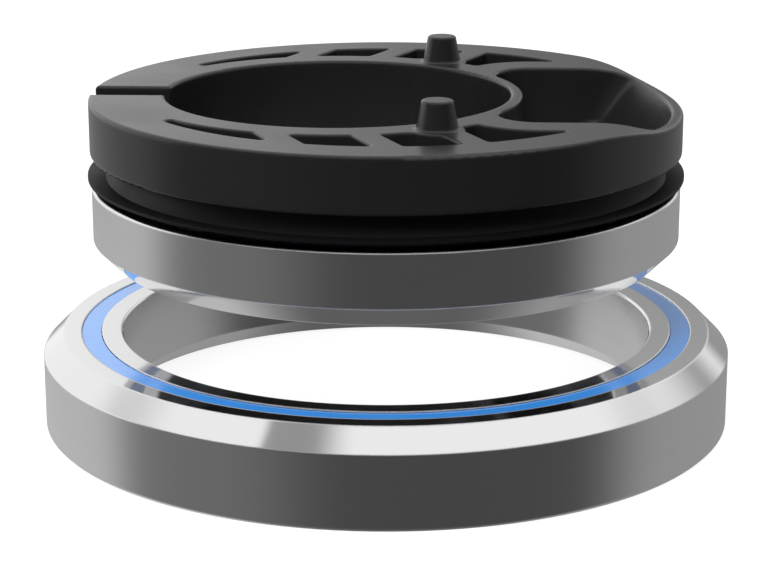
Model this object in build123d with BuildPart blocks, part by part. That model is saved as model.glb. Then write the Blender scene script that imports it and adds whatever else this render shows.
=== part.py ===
"""Bicycle headset: two sealed angular contact bearings, a lip seal and a split cable guide ring.

Millimetres. The origin is the centre of the lower bearing's bottom face, +Z is the steering axis
and +X points to the cable port. The split of the guide ring is on the -X side, and the plane
Y = 0 is its plane of symmetry. The upper stack hangs above the lower bearing at the distance that
shows both, because the frame's head tube, which keeps them apart in use, is no piece of a headset.
"""

import math
import os
from dataclasses import dataclass

from build123d import *

# Lower bearing
lower_outer_diameter = 52.0
lower_bore_diameter = 40.0
lower_height = 7.0
lower_seat_share = 0.255
lower_bore_share = 0.2267
lower_outer_edge = 0.23
lower_bore_edge = 0.13
lower_ball_count = 24

# Upper bearing
upper_outer_diameter = 44.0
upper_bore_diameter = 35.0
upper_height = 5.5
upper_seat_share = 0.3422
upper_bore_share = 0.2444
upper_outer_edge = 0.15
upper_bore_edge = 0.13
upper_ball_count = 24
stack_gap = 5.77

# A ball fills a share of its bearing's radial section, as the two chamfers above do, or of the height
# between the seals where that is less; the race gap is a share of the ball's diameter
ball_section_share = 0.52917
ball_height_share = 0.66
race_gap_share = 0.44094

# Bearing details that both share
race_clearance = 0.04
shoulder_cover = 0.28
land_cover = 0.1
seal_lip = 0.22
seal_back = 0.92
seal_recess = 0.1
seal_groove = 0.35
seal_fit = 0.02
seal_running_gap = 0.05

# Ball cages; the last three are shares of the ball's radius
cage_pocket_clearance = 0.08
cage_seal_gap = 0.1
cage_rim_gap = 0.04
cage_land_gap = 0.15
cage_finger_inset = 0.1
cage_finger_reach = 0.75
cage_heel_reach = 0.2
cage_finger_depth = 0.6

# Cable guide ring
ring_overhang = 0.05
ring_height = 4.1
ring_edge_fillet = 0.25
bore_diameter = 25.7
bore_offset = 3.58
split_width = 3.15
neck_setback = 1.75
neck_height = 1.92
wedge_fit = 0.03
wedge_depth = 2.1
wedge_foot_clearance = 0.1

# Cable port and the dip of the rim around it
port_wall = 0.92
port_half_width = 10.45
port_near_fillet = 2.8
port_far_fillet = 2.2
near_fillet_share = 0.9
funnel_rim_wall = 0.8
funnel_rim_drop = 1.0
funnel_waist_wall = 0.95
throat_wall = 0.8
throat_depth = 2.75
dip_inset = 7.05
dip_length = 7.4
dip_drop = 1.05

# Pockets of the cable guide ring
pocket_depth = 3.2
pocket_slant = 65.0
first_pocket_end = 15.1
first_rib = 13.95
pocket_width = 3.85
pocket_rib = 1.95
pocket_bore_wall = 2.45
pocket_outer_wall = 3.27
pocket_port_wall = 2.8
bore_wall_limit = 0.45
outer_wall_limit = 0.6
pocket_corner = 0.3
pocket_edge_fillet = 0.15

# Locating pins on the cable guide ring
pin_stand = 2.285
pin_spread = 59.95
pin_base_diameter = 3.0
pin_top_diameter = 2.2
pin_height = 2.05
pin_top_fillet = 0.18
pin_root_fillet = 0.22
pin_boss_diameter = 3.9
pin_boss_blend = 1.0

# Lip seal
lip_overhang = 0.25
lip_thickness = 0.22
lip_rise = 0.1
lip_crease_reach = 0.62
lip_crease_height = 0.7
lip_underside_gap = 0.45
lip_flank_bulge = 0.07
lip_flank_height = 0.38
seal_collar_wall = 0.25
neck_fit = 0.03
bead_depth = 0.3
bead_height = 0.6
bead_base = 1.05

# How far a cutting shape runs past the face that it cuts
cut_margin = 1.0

# A corner lies on a line within the first of these, and a face looks up from the second on
corner_tolerance = 0.001
level_face = 0.9


@dataclass(frozen=True)
class Bearing:
    """Sizes of one bearing; depths run from the face that has the outer seat chamfer."""

    row: str
    outer_radius: float
    bore_radius: float
    height: float
    seat_share: float
    bore_share: float
    outer_edge: float
    bore_edge: float
    ball_count: int
    seat_face: float
    depth_sign: int

    @property
    def section(self):
        """Radial section, from the bore to the outside."""
        return self.outer_radius - self.bore_radius

    @property
    def seat_chamfer(self):
        """Width and depth of the outer race's 45 degree seat."""
        return self.section * self.seat_share

    @property
    def bore_chamfer(self):
        """Width and depth of the inner race's 45 degree chamfer."""
        return self.section * self.bore_share

    @property
    def ball_radius(self):
        """Radius of the balls."""
        room = self.height - 2 * seal_back
        return min(self.section * ball_section_share, room * ball_height_share) / 2

    @property
    def race_gap(self):
        """Distance from the ball circle to the far rim of either race."""
        return 2 * self.ball_radius * race_gap_share

    @property
    def pitch_radius(self):
        """Radius of the circle that the ball centres lie on."""
        return (self.outer_radius + self.bore_radius) / 2

    @property
    def ball_depth(self):
        """Depth of the ball centres."""
        return self.height / 2

    @property
    def ball_level(self):
        """Height of the ball centres above the origin."""
        return self.seat_face + self.depth_sign * self.ball_depth

    @property
    def groove_radius(self):
        """Radius of both ball grooves."""
        return self.ball_radius + race_clearance

    @property
    def inner_land(self):
        """Radius of the inner race's rim beside the seat face."""
        return self.pitch_radius - self.race_gap

    @property
    def outer_land(self):
        """Radius of the outer race's rim on the face away from the seat."""
        return self.pitch_radius + self.race_gap

    @property
    def seat_side_name(self):
        """Which face of the bearing, top or bottom, has the seat chamfer."""
        return "top" if self.depth_sign < 0 else "bottom"

    @property
    def far_side_name(self):
        """Which face of the bearing lies away from the seat chamfer."""
        return "bottom" if self.depth_sign < 0 else "top"

    def at(self, radius, depth):
        """Point of a half section, from its radius and its depth below the seat face."""
        return (radius, self.seat_face + self.depth_sign * depth)

    def groove_end(self, radius_change):
        """Distance along the axis from the ball centre to where a groove meets a radius."""
        return math.sqrt(self.groove_radius**2 - radius_change**2)


def write_outer_race(bearing):
    """Outer race with its 45 degree seat, its ball groove and a snap groove for each seal."""
    seat_land = bearing.pitch_radius + land_cover
    shoulder = bearing.pitch_radius + shoulder_cover
    ball_depth = bearing.ball_depth
    far_face = bearing.height
    groove_start = bearing.at(shoulder, ball_depth - bearing.groove_end(shoulder_cover))
    groove_bottom = bearing.at(bearing.pitch_radius + bearing.groove_radius, ball_depth)
    groove_finish = bearing.at(bearing.outer_land, ball_depth + bearing.groove_end(bearing.race_gap))
    with BuildPart() as race:
        with BuildSketch(Plane.XZ):
            with BuildLine():
                Polyline(
                    groove_finish,
                    bearing.at(bearing.outer_land, far_face - seal_back),
                    bearing.at(bearing.outer_land + seal_groove, far_face - seal_back),
                    bearing.at(bearing.outer_land + seal_groove, far_face - seal_lip),
                    bearing.at(bearing.outer_land, far_face - seal_lip),
                    bearing.at(bearing.outer_land, far_face),
                    bearing.at(bearing.outer_radius - bearing.outer_edge, far_face),
                    bearing.at(bearing.outer_radius, far_face - bearing.outer_edge),
                    bearing.at(bearing.outer_radius, bearing.seat_chamfer),
                    bearing.at(bearing.outer_radius - bearing.seat_chamfer, 0),
                    bearing.at(seat_land, 0),
                    bearing.at(seat_land, seal_lip),
                    bearing.at(seat_land + seal_groove, seal_lip),
                    bearing.at(seat_land + seal_groove, seal_back),
                    bearing.at(shoulder, seal_back),
                    groove_start,
                )
                ThreePointArc(groove_start, groove_bottom, groove_finish)
            make_face()
        revolve(axis=Axis.Z)
    race.part.label = f"{bearing.row}_outer_race"
    export_step(race.part, f"parts/{race.part.label}.step")


def write_inner_race(bearing):
    """Inner race with its ball groove and the 45 degree chamfer in its bore."""
    far_land = bearing.pitch_radius - land_cover
    ball_depth = bearing.ball_depth
    far_face = bearing.height
    groove_start = bearing.at(far_land, ball_depth + bearing.groove_end(land_cover))
    groove_bottom = bearing.at(bearing.pitch_radius - bearing.groove_radius, ball_depth)
    groove_finish = bearing.at(bearing.inner_land, ball_depth - bearing.groove_end(bearing.race_gap))
    with BuildPart() as race:
        with BuildSketch(Plane.XZ):
            with BuildLine():
                Polyline(
                    groove_finish,
                    bearing.at(bearing.inner_land, 0),
                    bearing.at(bearing.bore_radius + bearing.bore_edge, 0),
                    bearing.at(bearing.bore_radius, bearing.bore_edge),
                    bearing.at(bearing.bore_radius, far_face - bearing.bore_chamfer),
                    bearing.at(bearing.bore_radius + bearing.bore_chamfer, far_face),
                    bearing.at(far_land, far_face),
                    groove_start,
                )
                ThreePointArc(groove_start, groove_bottom, groove_finish)
            make_face()
        revolve(axis=Axis.Z)
    race.part.label = f"{bearing.row}_inner_race"
    export_step(race.part, f"parts/{race.part.label}.step")


def write_seat_side_seal(bearing):
    """Rubber seal of the face with the seat chamfer; its bead snaps into the outer race."""
    seat_land = bearing.pitch_radius + land_cover
    with BuildPart() as seal:
        with BuildSketch(Plane.XZ):
            with BuildLine():
                Polyline(
                    bearing.at(bearing.inner_land + seal_running_gap, seal_recess),
                    bearing.at(seat_land - seal_fit, seal_recess),
                    bearing.at(seat_land - seal_fit, seal_lip + seal_fit),
                    bearing.at(seat_land + seal_groove - seal_fit, seal_lip + seal_fit),
                    bearing.at(seat_land + seal_groove - seal_fit, seal_back - seal_fit),
                    bearing.at(bearing.inner_land + seal_running_gap, seal_back - seal_fit),
                    close=True,
                )
            make_face()
        revolve(axis=Axis.Z)
    seal.part.label = f"{bearing.row}_{bearing.seat_side_name}_seal"
    export_step(seal.part, f"parts/{seal.part.label}.step")


def write_far_side_seal(bearing):
    """Rubber seal of the other face, between the inner race's wide rim and the outer race."""
    far_land = bearing.pitch_radius - land_cover
    far_face = bearing.height
    with BuildPart() as seal:
        with BuildSketch(Plane.XZ):
            with BuildLine():
                Polyline(
                    bearing.at(far_land + seal_running_gap, far_face - seal_recess),
                    bearing.at(bearing.outer_land - seal_fit, far_face - seal_recess),
                    bearing.at(bearing.outer_land - seal_fit, far_face - seal_lip - seal_fit),
                    bearing.at(bearing.outer_land + seal_groove - seal_fit, far_face - seal_lip - seal_fit),
                    bearing.at(bearing.outer_land + seal_groove - seal_fit, far_face - seal_back + seal_fit),
                    bearing.at(far_land + seal_running_gap, far_face - seal_back + seal_fit),
                    close=True,
                )
            make_face()
        revolve(axis=Axis.Z)
    seal.part.label = f"{bearing.row}_{bearing.far_side_name}_seal"
    export_step(seal.part, f"parts/{seal.part.label}.step")


def write_ball_cage(bearing):
    """Cage: a rim behind the seat side seal, with slanted fingers between the balls."""
    pocket_radius = bearing.ball_radius + cage_pocket_clearance
    rim_front = seal_back + cage_seal_gap
    rim_back = bearing.ball_depth - pocket_radius - cage_rim_gap
    rim_inside = bearing.inner_land + cage_land_gap
    rim_outside = bearing.pitch_radius + land_cover - cage_land_gap
    finger_radius = bearing.pitch_radius + bearing.ball_radius * cage_finger_reach
    finger_heel = bearing.pitch_radius + bearing.ball_radius * cage_heel_reach
    finger_depth = bearing.ball_depth + bearing.ball_radius * cage_finger_depth
    with BuildPart() as cage:
        with BuildSketch(Plane.XZ):
            with BuildLine():
                Polyline(
                    bearing.at(rim_inside, rim_front),
                    bearing.at(rim_outside, rim_front),
                    bearing.at(rim_outside, rim_back),
                    bearing.at(finger_radius, finger_depth),
                    bearing.at(finger_heel, finger_depth),
                    bearing.at(rim_inside + cage_finger_inset, rim_back),
                    bearing.at(rim_inside, rim_back),
                    close=True,
                )
            make_face()
        revolve(axis=Axis.Z)
        with Locations(Plane.XY.offset(bearing.ball_level)):
            with PolarLocations(bearing.pitch_radius, bearing.ball_count):
                Sphere(pocket_radius, mode=Mode.SUBTRACT)
    cage.part.label = f"{bearing.row}_ball_cage"
    export_step(cage.part, f"parts/{cage.part.label}.step")


def write_balls(bearing):
    """Steel balls of the row, each a piece of its own, the first of them on +X."""
    for index in range(bearing.ball_count):
        angle = math.radians(360 * index / bearing.ball_count)
        x = bearing.pitch_radius * math.cos(angle)
        y = bearing.pitch_radius * math.sin(angle)
        with BuildPart(Plane((x, y, bearing.ball_level))) as ball:
            Sphere(bearing.ball_radius)
        ball.part.label = f"{bearing.row}_ball_{index + 1:02d}"
        export_step(ball.part, f"parts/{ball.part.label}.step")


lower = Bearing(
    row="lower",
    outer_radius=lower_outer_diameter / 2,
    bore_radius=lower_bore_diameter / 2,
    height=lower_height,
    seat_share=lower_seat_share,
    bore_share=lower_bore_share,
    outer_edge=lower_outer_edge,
    bore_edge=lower_bore_edge,
    ball_count=lower_ball_count,
    seat_face=lower_height,
    depth_sign=-1,
)
upper = Bearing(
    row="upper",
    outer_radius=upper_outer_diameter / 2,
    bore_radius=upper_bore_diameter / 2,
    height=upper_height,
    seat_share=upper_seat_share,
    bore_share=upper_bore_share,
    outer_edge=upper_outer_edge,
    bore_edge=upper_bore_edge,
    ball_count=upper_ball_count,
    seat_face=lower_height + stack_gap,
    depth_sign=1,
)

os.makedirs("parts", exist_ok=True)
for bearing in (lower, upper):
    write_outer_race(bearing)
    write_inner_race(bearing)
    write_seat_side_seal(bearing)
    write_far_side_seal(bearing)
    write_ball_cage(bearing)
    write_balls(bearing)

# Levels and radii of the cable guide ring, from the top face of the upper bearing
upper_bearing_top = upper.seat_face + upper.height
neck_bottom = upper_bearing_top + lip_underside_gap
ring_bottom = neck_bottom + neck_height
ring_top = ring_bottom + ring_height
wedge_bottom = upper_bearing_top - wedge_depth
ring_radius = upper.outer_radius + ring_overhang
neck_radius = ring_radius - neck_setback
bore_radius = bore_diameter / 2
bead_bottom = neck_bottom + bead_base - bead_height / 2
wedge_radius = upper.bore_radius + upper.bore_chamfer - wedge_fit
wedge_foot_radius = upper.bore_radius - wedge_foot_clearance
pin_taper = math.degrees(math.atan((pin_base_diameter - pin_top_diameter) / 2 / pin_height))
pin_distance = bore_radius + pin_stand
pin_x = pin_distance * math.cos(math.radians(pin_spread)) - bore_offset
pin_y = pin_distance * math.sin(math.radians(pin_spread))

# Funnel of the cable port: open above, closing to the bearing's bore below
funnel_rim_radius = ring_radius - funnel_rim_wall
funnel_waist_radius = neck_radius - funnel_waist_wall
throat_radius = wedge_foot_radius - throat_wall
port_near_radius = bore_radius + port_wall
funnel_slope = (funnel_rim_radius - funnel_waist_radius) / (ring_height - funnel_rim_drop)
funnel_mouth_level = ring_top + cut_margin
funnel_mouth_radius = funnel_rim_radius + funnel_slope * (funnel_rim_drop + cut_margin)
throat_top = ring_bottom - throat_depth


def near_fillet_limit(outer_radius):
    """Largest fillet of a near corner, which runs along the flat side up to the far corner's own."""
    far_fillet_end = math.sqrt(
        (outer_radius - port_far_fillet) ** 2 - (port_half_width - port_far_fillet) ** 2
    )
    reach = far_fillet_end + bore_offset
    return (reach**2 + port_half_width**2 - port_near_radius**2) / (2 * (port_near_radius + port_half_width))


def port_outline(level, outer_radius):
    """Section of the cable port: between the bore's wall, two flat sides and a round outer wall."""
    near_fillet = min(port_near_fillet, near_fillet_share * near_fillet_limit(outer_radius))
    with BuildSketch(Plane.XY.offset(level)) as outline:
        Circle(outer_radius)
        Rectangle(
            2 * ring_radius,
            2 * port_half_width,
            align=(Align.MIN, Align.CENTER),
            mode=Mode.INTERSECT,
        )
        with Locations((-bore_offset, 0)):
            Circle(port_near_radius, mode=Mode.SUBTRACT)
        corners = outline.vertices().group_by(Axis.X)
        fillet(corners[0], radius=near_fillet)
        corners = outline.vertices().group_by(Axis.X)
        fillet(corners[-1], radius=port_far_fillet)
    return outline.sketch


port_levels = (
    (wedge_bottom - cut_margin, throat_radius),
    (throat_top, throat_radius),
    (ring_bottom, funnel_waist_radius),
    (funnel_mouth_level, funnel_mouth_radius),
)
port_outlines = [port_outline(level, radius) for level, radius in port_levels]
with BuildPart() as cable_port:
    for low_outline, high_outline in zip(port_outlines, port_outlines[1:]):
        loft([low_outline, high_outline], ruled=True)

# Around the port the rim falls in a soft step, made of two equal arcs that run into each other
dip_start = ring_radius - dip_inset
dip_middle = (dip_start + dip_length / 2, ring_top - dip_drop / 2)
dip_foot = (dip_start + dip_length, ring_top - dip_drop)
with BuildPart() as rim_dip:
    with BuildSketch(Plane.XZ):
        with BuildLine():
            crest = TangentArc((dip_start, ring_top), dip_middle, tangent=(1, 0))
            hollow = TangentArc(dip_middle, dip_foot, tangent=crest % 1)
            Polyline(
                dip_foot,
                (dip_foot[0] + cut_margin, dip_foot[1]),
                (dip_foot[0] + cut_margin, ring_top + cut_margin),
                (dip_start, ring_top + cut_margin),
                (dip_start, ring_top),
            )
        make_face()
    extrude(amount=ring_radius, both=True)


def looking_up(part, lowest):
    """Outline edges of the faces that look up above a level, without the joints between them."""
    faces = [
        face
        for face in part.faces()
        if face.center().Z > lowest and face.normal_at().Z > level_face
    ]
    edges = [edge for face in faces for edge in face.edges()]
    return [edge for edge in edges if sum(edge.is_same(other) for other in edges) == 1]


def pocket_outline(low_side, high_side, boss_blend=0):
    """Pocket between two slanted rib lines, each given by its distance from the axis.

    The last step shrinks and grows the outline by one amount, which rounds its corners. Where the
    pin's boss stands in the pocket, boss_blend gives the larger rounding beside it.
    """
    slant = math.radians(pocket_slant)
    strip_corner = (high_side * math.sin(slant), -high_side * math.cos(slant), 0)
    boss_radius = pin_boss_diameter / 2
    with BuildSketch(Plane.XY.offset(ring_top - pocket_depth)) as outline:
        Circle(ring_radius - outer_wall)
        with Locations((-bore_offset, 0)):
            Circle(bore_radius + bore_wall, mode=Mode.SUBTRACT)
        with Locations((-first_pocket_end, 0)):
            Rectangle(2 * ring_radius, 2 * ring_radius, align=(Align.MIN, Align.MIN), mode=Mode.INTERSECT)
        with Locations(Location(strip_corner, (0, 0, pocket_slant))):
            Rectangle(
                2 * ring_radius,
                high_side - low_side,
                align=(Align.MIN, Align.MIN),
                mode=Mode.INTERSECT,
            )
        add(port_clearance, mode=Mode.SUBTRACT)
        with Locations((pin_x, pin_y)):
            Circle(boss_radius, mode=Mode.SUBTRACT)
        if boss_blend:
            on_boss = ShapeList(
                corner
                for corner in outline.vertices()
                if abs(math.hypot(corner.X - pin_x, corner.Y - pin_y) - boss_radius) < corner_tolerance
            )
            fillet(on_boss, radius=boss_blend)
        offset(amount=-pocket_corner)
        offset(amount=pocket_corner)
    return outline.sketch


# The pocket walls are at most these shares of the ring's narrow side, where the bore comes nearest
narrow_side = ring_radius - bore_offset - bore_radius
bore_wall = min(pocket_bore_wall, bore_wall_limit * narrow_side)
outer_wall = min(pocket_outer_wall, outer_wall_limit * narrow_side)
port_clearance = offset(port_outline(ring_top - pocket_depth, ring_radius), amount=pocket_port_wall)
second_pocket = pocket_rib - first_rib
third_pocket = second_pocket + pocket_width + pocket_rib
fourth_pocket = third_pocket + pocket_width + pocket_rib
pocket_outlines = [
    pocket_outline(-ring_radius, -first_rib),
    pocket_outline(second_pocket, second_pocket + pocket_width),
    pocket_outline(third_pocket, third_pocket + pocket_width, pin_boss_blend),
    pocket_outline(fourth_pocket, ring_radius),
]

with BuildPart() as cable_guide_ring:
    with BuildSketch(Plane.XY.offset(ring_bottom)):
        Circle(ring_radius)
    extrude(amount=ring_height)
    lower_rim = cable_guide_ring.edges().sort_by(Axis.Z)[0]
    fillet(lower_rim, radius=ring_edge_fillet)
    with BuildSketch(Plane.XZ):
        with BuildLine():
            Polyline(
                (0, wedge_bottom),
                (wedge_foot_radius, wedge_bottom),
                (wedge_foot_radius, upper_bearing_top - wedge_radius + wedge_foot_radius),
                (wedge_radius, upper_bearing_top),
                (wedge_radius, neck_bottom),
                (neck_radius, neck_bottom),
                (neck_radius, bead_bottom),
                (neck_radius - bead_depth, bead_bottom),
                (neck_radius - bead_depth, bead_bottom + bead_height),
                (neck_radius, bead_bottom + bead_height),
                (neck_radius, ring_bottom),
                (0, ring_bottom),
                close=True,
            )
        make_face()
    revolve(axis=Axis.Z)
    with BuildSketch(Plane.XY.offset(wedge_bottom)):
        with Locations((-bore_offset, 0)):
            Circle(bore_radius)
            Rectangle(2 * ring_radius, split_width, align=(Align.MAX, Align.CENTER))
    extrude(amount=ring_top - wedge_bottom, mode=Mode.SUBTRACT)
    add(cable_port.part, mode=Mode.SUBTRACT)
    add(rim_dip.part, mode=Mode.SUBTRACT)
    fillet(looking_up(cable_guide_ring, ring_top - dip_drop), radius=ring_edge_fillet)
    for outline in pocket_outlines:
        add(outline)
        add(mirror(outline, about=Plane.XZ, mode=Mode.PRIVATE))
    extrude(amount=pocket_depth, mode=Mode.SUBTRACT)
    top_face = cable_guide_ring.faces().filter_by(Axis.Z).sort_by(Axis.Z)[-1]
    fillet(top_face.inner_wires().edges(), radius=pocket_edge_fillet)
    for pin_side in (pin_y, -pin_y):
        with BuildSketch(Plane.XY.offset(ring_top)):
            with Locations((pin_x, pin_side)):
                Circle(pin_base_diameter / 2)
        extrude(amount=pin_height, taper=pin_taper)
    pin_tops = cable_guide_ring.edges().filter_by(GeomType.CIRCLE).group_by(Axis.Z)[-1]
    fillet(pin_tops, radius=pin_top_fillet)
    pin_roots = ShapeList(
        edge
        for edge in cable_guide_ring.edges().filter_by(GeomType.CIRCLE)
        if math.isclose(edge.radius, pin_base_diameter / 2) and math.isclose(edge.center().Z, ring_top)
    )
    fillet(pin_roots, radius=pin_root_fillet)
cable_guide_ring.part.label = "cable_guide_ring"
export_step(cable_guide_ring.part, "parts/cable_guide_ring.step")

# The lip seal's collar hugs the neck and ends just under the ring
collar_radius = neck_radius + neck_fit + seal_collar_wall
collar_top = ring_bottom - neck_fit
crease_radius = neck_radius + lip_crease_reach
lip_radius = upper.outer_radius + lip_overhang
crease_level = upper_bearing_top + lip_crease_height
lip_level = crease_level + lip_rise
with BuildPart() as lip_seal:
    with BuildSketch(Plane.XZ):
        with BuildLine():
            crease = (crease_radius, crease_level)
            collar_edge = (collar_radius, collar_top)
            ThreePointArc(
                collar_edge,
                (collar_radius + lip_flank_bulge, crease_level + lip_flank_height),
                crease,
            )
            Polyline(
                crease,
                (lip_radius, lip_level),
                (lip_radius, lip_level - lip_thickness),
                (crease_radius, neck_bottom - neck_fit),
                (neck_radius + neck_fit, neck_bottom - neck_fit),
                (neck_radius + neck_fit, bead_bottom + neck_fit),
                (neck_radius + neck_fit - bead_depth, bead_bottom + neck_fit),
                (neck_radius + neck_fit - bead_depth, bead_bottom + bead_height - neck_fit),
                (neck_radius + neck_fit, bead_bottom + bead_height - neck_fit),
                (neck_radius + neck_fit, collar_top),
                collar_edge,
            )
        make_face()
    revolve(axis=Axis.Z)
lip_seal.part.label = "lip_seal"
export_step(lip_seal.part, "parts/lip_seal.step")
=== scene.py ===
"""Bicycle headset: two sealed bearings, and a moulded cable guide ring with its lip seal."""

from __future__ import annotations

import logging
import math
from abc import ABC, abstractmethod
from dataclasses import dataclass, field
from enum import Enum

import bmesh
import bpy
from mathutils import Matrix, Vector


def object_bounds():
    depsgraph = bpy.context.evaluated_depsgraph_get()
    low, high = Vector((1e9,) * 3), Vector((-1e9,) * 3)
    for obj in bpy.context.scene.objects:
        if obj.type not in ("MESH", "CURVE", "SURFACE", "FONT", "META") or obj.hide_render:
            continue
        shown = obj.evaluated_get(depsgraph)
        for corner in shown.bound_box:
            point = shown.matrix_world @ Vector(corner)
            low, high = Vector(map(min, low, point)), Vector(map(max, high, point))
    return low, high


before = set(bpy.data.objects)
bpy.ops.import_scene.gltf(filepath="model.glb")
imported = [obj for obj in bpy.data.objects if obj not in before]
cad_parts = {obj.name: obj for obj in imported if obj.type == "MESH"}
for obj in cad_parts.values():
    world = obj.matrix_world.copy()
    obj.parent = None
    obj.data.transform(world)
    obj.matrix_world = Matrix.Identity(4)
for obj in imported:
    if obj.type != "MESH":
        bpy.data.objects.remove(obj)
CAD_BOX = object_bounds()

LOG = logging.getLogger("headset")

Colour = tuple[float, float, float]
Value = float | bpy.types.NodeSocket

MM = 0.001


class Graph:
    """One node tree, with short calls for the nodes that the finishes and the studio use."""

    def __init__(self, tree: bpy.types.NodeTree) -> None:
        """Takes the node tree to build in.

        Args:
            tree: the tree of a material, a world or a node group.
        """
        self.tree = tree

    def node(self, kind: str, **settings: object) -> bpy.types.Node:
        """Adds a node.

        Args:
            kind: the node's type name.
            settings: values for the node's own properties.

        Returns:
            The new node.
        """
        made = self.tree.nodes.new(kind)
        for name, value in settings.items():
            setattr(made, name, value)
        return made

    def feed(self, socket: bpy.types.NodeSocket, value: object) -> None:
        """Gives an input its value, by a link where the value is another node's output.

        Args:
            socket: the input to set.
            value: a number, a colour or an output socket.
        """
        if isinstance(value, bpy.types.NodeSocket):
            self.tree.links.new(value, socket)
        elif isinstance(value, tuple) and socket.type == "RGBA":
            socket.default_value = (*value, 1.0)
        else:
            socket.default_value = value

    def math(self, operation: str, *values: Value, clamp: bool = False) -> bpy.types.NodeSocket:
        """Works out one step of arithmetic.

        Args:
            operation: the name of the operation, as the Math node has it.
            values: its inputs, in order.
            clamp: whether the result is held between 0 and 1.

        Returns:
            The result.
        """
        step = self.node("ShaderNodeMath", operation=operation, use_clamp=clamp)
        for socket, value in zip(step.inputs, values):
            self.feed(socket, value)
        return step.outputs[0]

    def ramp(
        self, value: Value, low: Value, high: Value, start: Value = 0.0, end: Value = 1.0
    ) -> bpy.types.NodeSocket:
        """Moves smoothly from one level to another while a value crosses a range.

        Args:
            value: the value that decides.
            low: where the change starts.
            high: where the change ends.
            start: the level up to low.
            end: the level from high on.

        Returns:
            The level.
        """
        step = self.node("ShaderNodeMapRange", interpolation_type="SMOOTHSTEP", clamp=True)
        names = ("Value", "From Min", "From Max", "To Min", "To Max")
        for name, number in zip(names, (value, low, high, start, end)):
            self.feed(step.inputs[name], number)
        return step.outputs["Result"]

    def mix(self, factor: Value, first: Value, second: Value) -> bpy.types.NodeSocket:
        """Mixes two numbers.

        Args:
            factor: the share of the second.
            first: the number at a share of 0.
            second: the number at a share of 1.

        Returns:
            The mixed number.
        """
        step = self.node("ShaderNodeMix", data_type="FLOAT")
        for socket, value in zip((step.inputs[0], step.inputs[2], step.inputs[3]), (factor, first, second)):
            self.feed(socket, value)
        return step.outputs[0]

    def tint(self, factor: Value, first: object, second: object) -> bpy.types.NodeSocket:
        """Mixes two colours.

        Args:
            factor: the share of the second.
            first: the colour at a share of 0.
            second: the colour at a share of 1.

        Returns:
            The mixed colour.
        """
        step = self.node("ShaderNodeMix", data_type="RGBA")
        for socket, value in zip((step.inputs[0], step.inputs[6], step.inputs[7]), (factor, first, second)):
            self.feed(socket, value)
        return step.outputs[2]

    def split(self, vector: bpy.types.NodeSocket) -> tuple[bpy.types.NodeSocket, ...]:
        """Splits a vector into its x, y and z."""
        parts = self.node("ShaderNodeSeparateXYZ")
        self.feed(parts.inputs[0], vector)
        return tuple(parts.outputs)

    def noise(
        self, position: Value, scale: Value, detail: float = 2.0, line: bool = False
    ) -> bpy.types.NodeSocket:
        """Gives a cloudy pattern between 0 and 1.

        Args:
            position: the point, or with line the distance along the line.
            scale: how many features there are per metre.
            detail: how many finer layers there are.
            line: whether the pattern changes along one line only.

        Returns:
            The pattern's value.
        """
        cloud = self.node("ShaderNodeTexNoise", noise_dimensions="1D" if line else "3D")
        self.feed(cloud.inputs["W" if line else "Vector"], position)
        self.feed(cloud.inputs["Scale"], scale)
        cloud.inputs["Detail"].default_value = detail
        return cloud.outputs["Fac"]


class Effect(Enum):
    """The shared surface effects, each a node group that several finishes place with their own values."""

    TURNING = "turning_marks"
    GRAIN = "surface_grain"
    HANDLING = "handling_marks"


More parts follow.
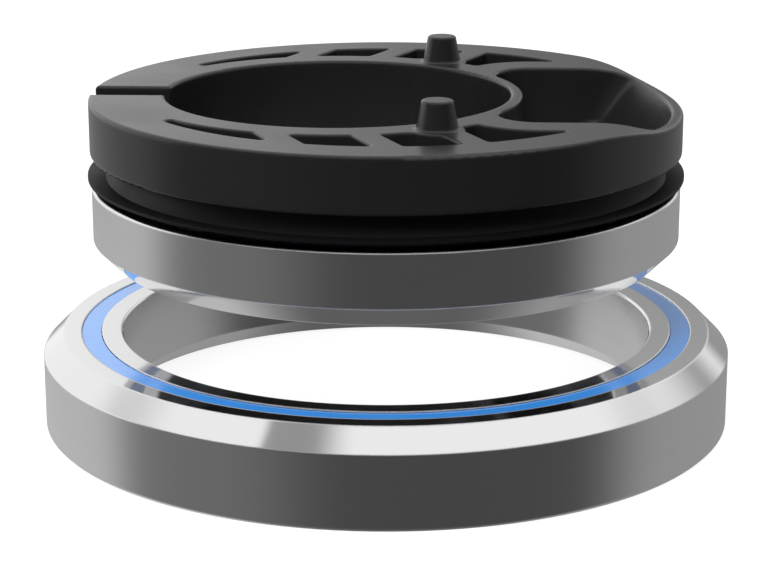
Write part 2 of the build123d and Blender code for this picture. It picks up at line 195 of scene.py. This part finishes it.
class Effects:
    """Builds the shared node groups once and places them in materials."""

    def __init__(self) -> None:
        """Builds the three groups."""
        self.groups = {
            Effect.TURNING: self._turning_marks(),
            Effect.GRAIN: self._surface_grain(),
            Effect.HANDLING: self._handling_marks(),
        }

    def place(self, graph: Graph, effect: Effect, **values: float) -> bpy.types.Node:
        """Places an effect in a material.

        Args:
            graph: the material's graph.
            effect: which effect.
            values: its inputs, with spaces in their names written as underscores.

        Returns:
            The group's node, whose outputs carry the effect.
        """
        placed = graph.node("ShaderNodeGroup", node_tree=self.groups[effect])
        for name, value in values.items():
            graph.feed(placed.inputs[name.replace("_", " ").capitalize()], value)
        return placed

    @staticmethod
    def _group(
        effect: Effect, inputs: dict[str, float], outputs: tuple[str, ...]
    ) -> tuple[Graph, dict, dict]:
        """Starts a node group.

        Args:
            effect: the effect that the group makes.
            inputs: the name and usual value of each input.
            outputs: the names of the outputs.

        Returns:
            The group's graph, its input sockets by name and its output sockets by name.
        """
        tree = bpy.data.node_groups.new(effect.value, "ShaderNodeTree")
        for name, value in inputs.items():
            socket = tree.interface.new_socket(name, in_out="INPUT", socket_type="NodeSocketFloat")
            socket.default_value = value
        for name in outputs:
            tree.interface.new_socket(name, in_out="OUTPUT", socket_type="NodeSocketFloat")
        graph = Graph(tree)
        given = graph.node("NodeGroupInput").outputs
        wanted = graph.node("NodeGroupOutput").inputs
        return graph, {name: given[name] for name in inputs}, {name: wanted[name] for name in outputs}

    def _turning_marks(self) -> bpy.types.NodeTree:
        """Fine rings round the part's own axis, as a lathe or a grinding wheel leaves them.

        Returns:
            The group, with the marks' height and a slower banding of the same rings.
        """
        graph, given, wanted = self._group(Effect.TURNING, {"Pitch": 0.05 * MM}, ("Height", "Banding"))
        x, y, z = graph.split(graph.node("ShaderNodeTexCoord").outputs["Object"])
        squares = graph.math("ADD", graph.math("POWER", x, 2.0), graph.math("POWER", y, 2.0))
        radius = graph.math("SQRT", squares)
        across = graph.math("ADD", radius, z)
        rings = graph.math("DIVIDE", across, given["Pitch"])
        graph.feed(wanted["Height"], graph.noise(rings, 1.0, 3.0, line=True))
        graph.feed(wanted["Banding"], graph.noise(rings, 0.09, 2.0, line=True))
        return graph.tree

    def _surface_grain(self) -> bpy.types.NodeTree:
        """An even fine grain, as a spark-eroded mould or a moulded rubber has it.

        Returns:
            The group, with the grain's height and a speckle of its deepest spots.
        """
        graph, given, wanted = self._group(Effect.GRAIN, {"Size": 0.1 * MM}, ("Height", "Speckle"))
        place = graph.node("ShaderNodeTexCoord").outputs["Object"]
        density = graph.math("DIVIDE", 1.0, given["Size"])
        grain = graph.noise(place, density, 3.0)
        graph.feed(wanted["Height"], grain)
        graph.feed(wanted["Speckle"], graph.ramp(grain, 0.52, 0.7))
        return graph.tree

    def _handling_marks(self) -> bpy.types.NodeTree:
        """Broad soft patches that make a surface a little duller where it was touched or cleaned.

        Returns:
            The group, with the patches as a mask.
        """
        graph, given, wanted = self._group(Effect.HANDLING, {"Size": 8 * MM}, ("Mask",))
        place = graph.node("ShaderNodeTexCoord").outputs["Object"]
        patches = graph.noise(place, graph.math("DIVIDE", 1.0, given["Size"]), 4.0)
        graph.feed(wanted["Mask"], graph.ramp(patches, 0.35, 0.7))
        return graph.tree


@dataclass(frozen=True)
class Finish(ABC):
    """The finish of one material slot."""

    slot: str
    colour: Colour
    roughness: float

    def material(self, effects: Effects) -> bpy.types.Material:
        """Builds the finish as a material.

        Args:
            effects: the shared node groups.

        Returns:
            The material.
        """
        made = bpy.data.materials.new(self.slot + "_finish")
        made.use_nodes = True
        made.node_tree.nodes.clear()
        graph = Graph(made.node_tree)
        surface = graph.node("ShaderNodeBsdfPrincipled")
        surface.inputs["Base Color"].default_value = (*self.colour, 1.0)
        surface.inputs["Roughness"].default_value = self.roughness
        ending = graph.node("ShaderNodeOutputMaterial")
        graph.feed(ending.inputs["Surface"], surface.outputs["BSDF"])
        self.dress(graph, surface, effects)
        return made

    @abstractmethod
    def dress(self, graph: Graph, surface: bpy.types.Node, effects: Effects) -> None:
        """Adds what makes the finish its own.

        Args:
            graph: the material's graph.
            surface: the Principled shader, with the plain colour and roughness set.
            effects: the shared node groups.
        """

    @staticmethod
    def relief(
        graph: Graph, surface: bpy.types.Node, height: bpy.types.NodeSocket, depth: float, edge: float = 0.0
    ) -> None:
        """Raises the surface by a pattern, and softens its edges.

        Args:
            graph: the material's graph.
            surface: the shader that takes the relief.
            height: the pattern, from 0 to 1.
            depth: how high its highest points stand, in metres.
            edge: how far each edge is rounded off, in metres.
        """
        bump = graph.node("ShaderNodeBump")
        if edge:
            rounding = graph.node("ShaderNodeBevel", samples=6)
            rounding.inputs["Radius"].default_value = edge
            graph.feed(bump.inputs["Normal"], rounding.outputs["Normal"])
        bump.inputs["Strength"].default_value = 1.0
        bump.inputs["Distance"].default_value = depth
        graph.feed(bump.inputs["Height"], height)
        graph.feed(surface.inputs["Normal"], bump.outputs["Normal"])


@dataclass(frozen=True)
class GroundSteel(Finish):
    """Bearing steel: satin ground walls, polished chamfers and end faces, fine rings over both."""

    slot: str = "race_steel"
    colour: Colour = (0.83, 0.83, 0.835)
    roughness: float = 0.27
    face_roughness: float = 0.07
    wall_lean: float = 0.25
    face_lean: float = 0.55
    mark_pitch: float = 0.06 * MM
    mark_depth: float = 0.00004 * MM
    edge_rounding: float = 0.18 * MM
    band_shade: float = 0.97

    def dress(self, graph: Graph, surface: bpy.types.Node, effects: Effects) -> None:
        """Makes the walls satin and the faces polished, and lays the rings over both.

        Args:
            graph: the material's graph.
            surface: the Principled shader.
            effects: the shared node groups.
        """
        surface.inputs["Metallic"].default_value = 1.0
        lean = graph.split(graph.node("ShaderNodeTexCoord").outputs["Normal"])[2]
        polish = graph.ramp(graph.math("ABSOLUTE", lean), self.wall_lean, self.face_lean)
        marks = effects.place(graph, Effect.TURNING, pitch=self.mark_pitch)
        graph.feed(surface.inputs["Roughness"], graph.mix(polish, self.roughness, self.face_roughness))
        darker = tuple(self.band_shade * channel for channel in self.colour)
        graph.feed(surface.inputs["Base Color"], graph.tint(marks.outputs["Banding"], self.colour, darker))
        height = marks.outputs["Height"]
        self.relief(graph, surface, height, self.mark_depth, self.edge_rounding)


@dataclass(frozen=True)
class LappedSteel(Finish):
    """Bearing balls: lapped chrome steel with a film of grease in places."""

    slot: str = "ball_steel"
    colour: Colour = (0.86, 0.86, 0.87)
    roughness: float = 0.04
    grease_dulling: float = 0.1
    grease_size: float = 1.5 * MM

    def dress(self, graph: Graph, surface: bpy.types.Node, effects: Effects) -> None:
        """Dulls the balls where the grease lies.

        Args:
            graph: the material's graph.
            surface: the Principled shader.
            effects: the shared node groups.
        """
        surface.inputs["Metallic"].default_value = 1.0
        film = effects.place(graph, Effect.HANDLING, size=self.grease_size)
        graph.feed(
            surface.inputs["Roughness"],
            graph.math("MULTIPLY_ADD", film.outputs["Mask"], self.grease_dulling, self.roughness),
        )


@dataclass(frozen=True)
class CageNylon(Finish):
    """Ball cages: natural moulded nylon, a little translucent."""

    slot: str = "cage_plastic"
    colour: Colour = (0.72, 0.7, 0.62)
    roughness: float = 0.45
    soaking: float = 0.2
    soak_depth: Colour = (0.6 * MM, 0.5 * MM, 0.4 * MM)
    grain_size: float = 0.15 * MM
    grain_depth: float = 0.002 * MM

    def dress(self, graph: Graph, surface: bpy.types.Node, effects: Effects) -> None:
        """Adds the moulded grain and the light that soaks in.

        Args:
            graph: the material's graph.
            surface: the Principled shader.
            effects: the shared node groups.
        """
        surface.inputs["Subsurface Weight"].default_value = self.soaking
        surface.inputs["Subsurface Radius"].default_value = self.soak_depth
        surface.inputs["Subsurface Scale"].default_value = 1.0
        grain = effects.place(graph, Effect.GRAIN, size=self.grain_size)
        self.relief(graph, surface, grain.outputs["Height"], self.grain_depth)


@dataclass(frozen=True)
class SealRubber(Finish):
    """Bearing seals: smooth glossy blue rubber."""

    slot: str = "bearing_seal_rubber"
    colour: Colour = (0.04, 0.3, 0.85)
    deep_colour: Colour = (0.036, 0.28, 0.8)
    roughness: float = 0.2
    coat: float = 1.0
    coat_roughness: float = 0.12
    patch_size: float = 3 * MM
    grain_size: float = 0.12 * MM
    grain_depth: float = 0.0004 * MM

    def dress(self, graph: Graph, surface: bpy.types.Node, effects: Effects) -> None:
        """Adds the moulded gloss, a faint unevenness of the blue and a fine grain.

        Args:
            graph: the material's graph.
            surface: the Principled shader.
            effects: the shared node groups.
        """
        surface.inputs["Coat Weight"].default_value = self.coat
        surface.inputs["Coat Roughness"].default_value = self.coat_roughness
        patches = effects.place(graph, Effect.HANDLING, size=self.patch_size)
        blue = graph.tint(patches.outputs["Mask"], self.colour, self.deep_colour)
        graph.feed(surface.inputs["Base Color"], blue)
        grain = effects.place(graph, Effect.GRAIN, size=self.grain_size)
        self.relief(graph, surface, grain.outputs["Height"], self.grain_depth)


@dataclass(frozen=True)
class LipRubber(Finish):
    """The lip seal: soft black rubber with a dull sheen."""

    slot: str = "lip_rubber"
    colour: Colour = (0.005, 0.005, 0.0055)
    roughness: float = 0.5
    gloss: float = 0.25
    patch_size: float = 4 * MM
    patch_dulling: float = 0.06
    grain_size: float = 0.1 * MM
    grain_depth: float = 0.0015 * MM

    def dress(self, graph: Graph, surface: bpy.types.Node, effects: Effects) -> None:
        """Adds the rubber's grain and its slightly dusty look where it was handled.

        Args:
            graph: the material's graph.
            surface: the Principled shader.
            effects: the shared node groups.
        """
        surface.inputs["Specular IOR Level"].default_value = self.gloss
        grain = effects.place(graph, Effect.GRAIN, size=self.grain_size)
        patches = effects.place(graph, Effect.HANDLING, size=self.patch_size)
        graph.feed(
            surface.inputs["Roughness"],
            graph.math("MULTIPLY_ADD", patches.outputs["Mask"], self.patch_dulling, self.roughness),
        )
        self.relief(graph, surface, grain.outputs["Height"], self.grain_depth)


@dataclass(frozen=True)
class RingPlastic(Finish):
    """The cable guide ring: glass-filled black nylon out of a finely eroded mould."""

    slot: str = "ring_plastic"
    colour: Colour = (0.011, 0.011, 0.0115)
    fibre_colour: Colour = (0.017, 0.017, 0.0175)
    roughness: float = 0.25
    grain_size: float = 0.09 * MM
    grain_depth: float = 0.0018 * MM
    edge_rounding: float = 0.3 * MM
    fibre_share: float = 0.5
    patch_size: float = 6 * MM
    patch_dulling: float = 0.05

    def dress(self, graph: Graph, surface: bpy.types.Node, effects: Effects) -> None:
        """Adds the mould's grain, a trace of the fibres and handled patches.

        Args:
            graph: the material's graph.
            surface: the Principled shader.
            effects: the shared node groups.
        """
        grain = effects.place(graph, Effect.GRAIN, size=self.grain_size)
        patches = effects.place(graph, Effect.HANDLING, size=self.patch_size)
        faint = graph.math("MULTIPLY", grain.outputs["Speckle"], self.fibre_share)
        graph.feed(surface.inputs["Base Color"], graph.tint(faint, self.colour, self.fibre_colour))
        graph.feed(
            surface.inputs["Roughness"],
            graph.math("MULTIPLY_ADD", patches.outputs["Mask"], self.patch_dulling, self.roughness),
        )
        self.relief(graph, surface, grain.outputs["Height"], self.grain_depth, self.edge_rounding)


@dataclass(frozen=True)
class Finishes:
    """Every finish of the headset."""

    race: GroundSteel = GroundSteel()
    ball: LappedSteel = LappedSteel()
    cage: CageNylon = CageNylon()
    seal: SealRubber = SealRubber()
    lip: LipRubber = LipRubber()
    ring: RingPlastic = RingPlastic()

    def materials(self, effects: Effects) -> dict[str, bpy.types.Material]:
        """Builds the materials.

        Args:
            effects: the shared node groups.

        Returns:
            The material of each slot.
        """
        finishes = (self.race, self.ball, self.cage, self.seal, self.lip, self.ring)
        return {finish.slot: finish.material(effects) for finish in finishes}


def dress_node(node: str, material: bpy.types.Material) -> None:
    """Gives a CAD node its finish.

    Args:
        node: the node's name.
        material: the material that it takes.
    """
    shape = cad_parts[node]
    if not shape.material_slots:
        shape.data.materials.append(material)
    for slot in shape.material_slots:
        slot.material = material


@dataclass
class SealedBearing:
    """One bearing of the headset: two races, two blue seals, and balls in their cage."""

    row: str
    ball_count: int = 24

    def dress(self, materials: dict[str, bpy.types.Material]) -> None:
        """Dresses the bearing's pieces.

        Args:
            materials: the material of each slot.
        """
        for part in ("outer_race", "inner_race"):
            dress_node(f"{self.row}_{part}", materials["race_steel"])
        for part in ("top_seal", "bottom_seal"):
            dress_node(f"{self.row}_{part}", materials["bearing_seal_rubber"])
        dress_node(f"{self.row}_ball_cage", materials["cage_plastic"])
        for number in range(1, self.ball_count + 1):
            dress_node(f"{self.row}_ball_{number:02d}", materials["ball_steel"])
        LOG.info("%s bearing: 2 races, 2 seals, a cage and %d balls", self.row, self.ball_count)


@dataclass
class GuideRing:
    """The moulded cable guide ring, with the lip seal snapped on its neck."""

    ring_node: str = "cable_guide_ring"
    lip_node: str = "lip_seal"

    def dress(self, materials: dict[str, bpy.types.Material]) -> None:
        """Dresses the ring and its lip seal.

        Args:
            materials: the material of each slot.
        """
        dress_node(self.ring_node, materials["ring_plastic"])
        dress_node(self.lip_node, materials["lip_rubber"])
        LOG.info("guide ring and lip seal")


@dataclass(frozen=True)
class Card:
    """A pale or dark card round the object.

    Azimuth is in degrees from the front towards the right, and height in degrees above the horizon.
    """

    centre: float
    half_width: float
    low: float
    high: float
    level: float
    left_softness: float = 10.0
    right_softness: float = 10.0
    edge_softness: float = 4.0

    def mask(
        self, graph: Graph, azimuth: bpy.types.NodeSocket, height: bpy.types.NodeSocket
    ) -> bpy.types.NodeSocket:
        """Works out where the card is seen.

        Args:
            graph: the world's graph.
            azimuth: the direction's azimuth.
            height: the direction's height.

        Returns:
            1 on the card, 0 off it, with its soft edges between.
        """
        turn = graph.math("WRAP", graph.math("SUBTRACT", azimuth, self.centre), -180.0, 180.0)
        left, right = self.left_softness / 2, self.right_softness / 2
        sideways = graph.math(
            "MULTIPLY",
            graph.ramp(turn, -self.half_width - left, -self.half_width + left),
            graph.ramp(turn, self.half_width - right, self.half_width + right, 1.0, 0.0),
        )
        edge = self.edge_softness / 2
        upright = graph.math(
            "MULTIPLY",
            graph.ramp(height, self.low - edge, self.low + edge),
            graph.ramp(height, self.high - edge, self.high + edge, 1.0, 0.0),
        )
        return graph.math("MULTIPLY", sideways, upright)


@dataclass
class Studio:
    """The pale floor, the soft lamps, the surroundings and the camera."""

    below_level: float = 0.066
    ceiling_level: float = 1.0
    ceiling_start: float = 4.0
    ceiling_end: float = 14.0
    cards: tuple[Card, ...] = (
        Card(0.0, 100.0, -60.0, 40.0, 0.066, 70.0, 70.0, 14.0),
        Card(0.0, 200.0, -120.0, -62.0, 0.13, edge_softness=24.0),
        Card(-74.0, 44.0, -60.0, 12.0, 0.16, 30.0, 40.0, 20.0),
        Card(-140.0, 45.0, -60.0, -10.0, 0.55, 30.0, 20.0, 20.0),
        Card(-135.0, 50.0, -8.0, 30.0, 1.0, 20.0, 14.0, 8.0),
        Card(134.0, 50.0, -60.0, 24.0, 0.33, 34.0, 18.0, 20.0),
        Card(154.0, 13.0, 6.0, 26.0, 0.85, 12.0, 6.0, 8.0),
        Card(-46.0, 17.0, 57.0, 71.0, 0.34, 4.0, 26.0, 10.0),
    )
    floor_radius: float = 1.5
    floor_segments: int = 96
    floor_drop: float = 0.02 * MM
    floor_colour: Colour = (0.12, 0.12, 0.12)
    floor_glow: float = 0.88
    floor_tone: Colour = (0.25, 0.25, 0.25)
    key_place: Vector = field(default_factory=lambda: Vector((-0.14, -0.32, 0.34)))
    key_size: float = 0.35
    key_power: float = 2.4
    camera_place: Vector = field(default_factory=lambda: Vector((5.909, -169.207, 57.686)) * MM)
    camera_tilt: float = math.radians(74.21)
    camera_turn: float = math.radians(2.0)
    camera_lens: float = 109.29
    camera_shift: float = -0.00787
    sensor_width: float = 36.0
    nearest: float = 10 * MM
    farthest: float = 10.0

    def build(self) -> None:
        """Builds the surroundings, the floor, the lamp and the camera."""
        self._surroundings()
        self._floor()
        self._lamp()
        self._camera()
        LOG.info("studio: %d cards, floor, lamp and camera", len(self.cards))

    def _surroundings(self) -> None:
        """White for the camera, the ceiling and the cards for the object."""
        world = bpy.data.worlds.new("studio")
        bpy.context.scene.world = world
        world.use_nodes = True
        world.cycles.sampling_method = "NONE"
        world.node_tree.nodes.clear()
        graph = Graph(world.node_tree)
        x, y, z = graph.split(graph.node("ShaderNodeTexCoord").outputs["Generated"])
        front = graph.math("MULTIPLY", y, -1.0)
        azimuth = graph.math("DEGREES", graph.math("ARCTAN2", x, front))
        height = graph.math("DEGREES", graph.math("ARCSINE", z))
        level = graph.ramp(
            height, self.ceiling_start, self.ceiling_end, self.below_level, self.ceiling_level
        )
        combine = graph.node("ShaderNodeCombineColor")
        for socket in combine.inputs:
            graph.feed(socket, level)
        seen = combine.outputs[0]
        for card in self.cards:
            shade = (card.level, card.level, card.level)
            seen = graph.tint(card.mask(graph, azimuth, height), seen, shade)
        path = graph.node("ShaderNodeLightPath")
        seen = graph.tint(path.outputs["Is Camera Ray"], seen, (1.0, 1.0, 1.0))
        backdrop = graph.node("ShaderNodeBackground")
        graph.feed(backdrop.inputs["Color"], seen)
        ending = graph.node("ShaderNodeOutputWorld")
        graph.feed(ending.inputs["Surface"], backdrop.outputs[0])

    def _floor(self) -> None:
        """A round pale floor that keeps the object's shadow."""
        mesh = bpy.data.meshes.new("studio_floor")
        shape = bmesh.new()
        bmesh.ops.create_circle(
            shape, cap_ends=True, radius=self.floor_radius, segments=self.floor_segments
        )
        shape.to_mesh(mesh)
        shape.free()
        floor = bpy.data.objects.new("studio_floor", mesh)
        bpy.context.scene.collection.objects.link(floor)
        floor.location.z = CAD_BOX[0].z - self.floor_drop
        floor.visible_glossy = False
        mesh.materials.append(self._floor_material())

    def _floor_material(self) -> bpy.types.Material:
        """Pale for the light that falls on it, near white for the camera.

        Returns:
            The floor's material.
        """
        made = bpy.data.materials.new("studio_floor")
        made.use_nodes = True
        made.node_tree.nodes.clear()
        graph = Graph(made.node_tree)
        plain = graph.node("ShaderNodeBsdfDiffuse")
        plain.inputs["Color"].default_value = (*self.floor_colour, 1.0)
        toned = graph.node("ShaderNodeBsdfDiffuse")
        toned.inputs["Color"].default_value = (*self.floor_tone, 1.0)
        glow = graph.node("ShaderNodeEmission")
        glow.inputs["Strength"].default_value = self.floor_glow
        shown = graph.node("ShaderNodeAddShader")
        graph.feed(shown.inputs[0], toned.outputs[0])
        graph.feed(shown.inputs[1], glow.outputs[0])
        choice = graph.node("ShaderNodeMixShader")
        graph.feed(choice.inputs[0], graph.node("ShaderNodeLightPath").outputs["Is Camera Ray"])
        graph.feed(choice.inputs[1], plain.outputs[0])
        graph.feed(choice.inputs[2], shown.outputs[0])
        ending = graph.node("ShaderNodeOutputMaterial")
        graph.feed(ending.inputs["Surface"], choice.outputs[0])
        return made

    def _lamp(self) -> None:
        """One large soft lamp, above and to the left."""
        lamp = bpy.data.lights.new("soft_lamp", "AREA")
        lamp.shape = "DISK"
        lamp.size = self.key_size
        lamp.energy = self.key_power
        holder = bpy.data.objects.new("soft_lamp", lamp)
        bpy.context.scene.collection.objects.link(holder)
        holder.location = self.key_place
        holder.rotation_euler = (-self.key_place).to_track_quat("-Z", "Y").to_euler()
        holder.visible_glossy = False

    def _camera(self) -> None:
        """The photograph's view: its height, its distance and its lens."""
        view = bpy.data.cameras.new("camera")
        view.sensor_width = self.sensor_width
        view.lens = self.camera_lens
        view.shift_x = self.camera_shift
        view.clip_start = self.nearest
        view.clip_end = self.farthest
        holder = bpy.data.objects.new("camera", view)
        bpy.context.scene.collection.objects.link(holder)
        holder.location = self.camera_place
        holder.rotation_euler = (self.camera_tilt, 0.0, self.camera_turn)
        bpy.context.scene.camera = holder


def main() -> None:
    """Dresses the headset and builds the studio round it."""
    logging.basicConfig(level=logging.INFO, format="%(message)s")
    materials = Finishes().materials(Effects())
    for row in ("lower", "upper"):
        SealedBearing(row).dress(materials)
    GuideRing().dress(materials)
    Studio().build()
    bpy.context.scene.view_settings.view_transform = "Standard"


if __name__ == "__main__":
    main()
